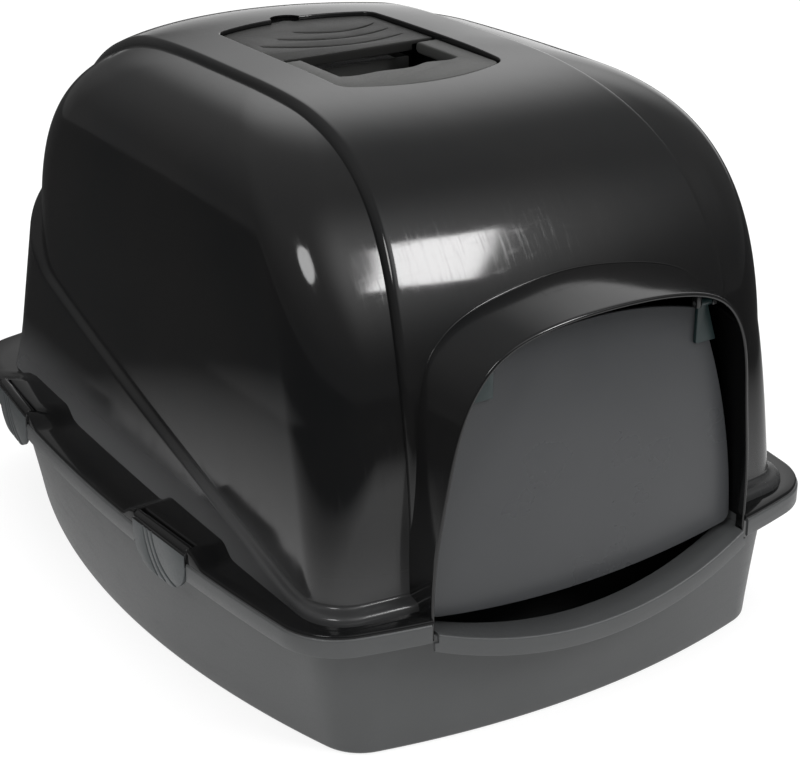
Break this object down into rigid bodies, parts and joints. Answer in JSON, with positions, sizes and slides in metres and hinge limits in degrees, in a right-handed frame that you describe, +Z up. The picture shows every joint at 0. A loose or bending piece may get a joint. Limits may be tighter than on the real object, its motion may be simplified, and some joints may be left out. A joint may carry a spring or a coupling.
{
  "type": "hooded litter box",
  "caption": "Hooded cat litter box: open tray, domed hood with visor and swinging flap, top carry handle, louvred filter cover and side latches.",
  "frame": {"origin": "on the floor under the middle of the rim", "axes": "+X right as seen from the door, -Y the door side, +Z up"},
  "size_m": [0.49, 0.66, 0.4163],
  "materials": {
    "tray_plastic": "satin dark grey moulded plastic",
    "hood_plastic": "glossy near-black moulded plastic with fine scratches",
    "flap_plastic": "smoked see-through plastic, lightly scuffed",
    "clip_plastic": "dark teal moulded plastic",
    "pin_plastic": "dark plain pin",
    "panel_plastic": "matte warm grey moulded plastic",
    "filter_felt": "charcoal filter felt",
    "latch_plastic": "satin cool grey moulded plastic with ridges"
  },
  "bodies": {
    "base": {"litter_tray": "tray_plastic", "hood_shell": "hood_plastic", "flap_pin_left": "pin_plastic", "flap_pin_right": "pin_plastic", "filter_holder": "panel_plastic", "carbon_filter": "filter_felt"},
    "flap": {"door_flap": "flap_plastic", "flap_clip_left": "clip_plastic", "flap_clip_right": "clip_plastic"},
    "handle": {"carry_handle": "panel_plastic"},
    "cover": {"filter_cover": "panel_plastic"},
    "latch_front_left_body": {"latch_front_left": "latch_plastic"},
    "latch_front_right_body": {"latch_front_right": "latch_plastic"},
    "latch_rear_left_body": {"latch_rear_left": "latch_plastic"},
    "latch_rear_right_body": {"latch_rear_right": "latch_plastic"}
  },
  "joints": [
    {"name": "flap_swing", "type": "hinge", "parent": "base", "child": "flap", "pos_m": [0, -0.3064, 0.288], "axis": [1, 0, 0], "range_deg": [-75, 75]},
    {"name": "handle_lift", "type": "hinge", "parent": "base", "child": "handle", "pos_m": [0, -0.007, 0.4077], "axis": [-1, 0, 0], "range_deg": [0, 90]},
    {"name": "cover_lift", "type": "hinge", "parent": "base", "child": "cover", "pos_m": [0, 0.009, 0.406], "axis": [1, 0, 0], "range_deg": [0, 90]},
    {"name": "latch_turn_front_left", "type": "hinge", "parent": "base", "child": "latch_front_left_body", "pos_m": [-0.23629, -0.11667, 0.1166], "axis": [-0.0653, 0.9979, 0], "range_deg": [0, 95]},
    {"name": "latch_turn_front_right", "type": "hinge", "parent": "base", "child": "latch_front_right_body", "pos_m": [0.23629, -0.11667, 0.1166], "axis": [-0.0653, -0.9979, 0], "range_deg": [0, 95]},
    {"name": "latch_turn_rear_left", "type": "hinge", "parent": "base", "child": "latch_rear_left_body", "pos_m": [-0.23217, 0.16153, 0.1166], "axis": [0.0948, 0.9955, 0], "range_deg": [0, 95]},
    {"name": "latch_turn_rear_right", "type": "hinge", "parent": "base", "child": "latch_rear_right_body", "pos_m": [0.23217, 0.16153, 0.1166], "axis": [0.0948, -0.9955, 0], "range_deg": [0, 95]}
  ]
}
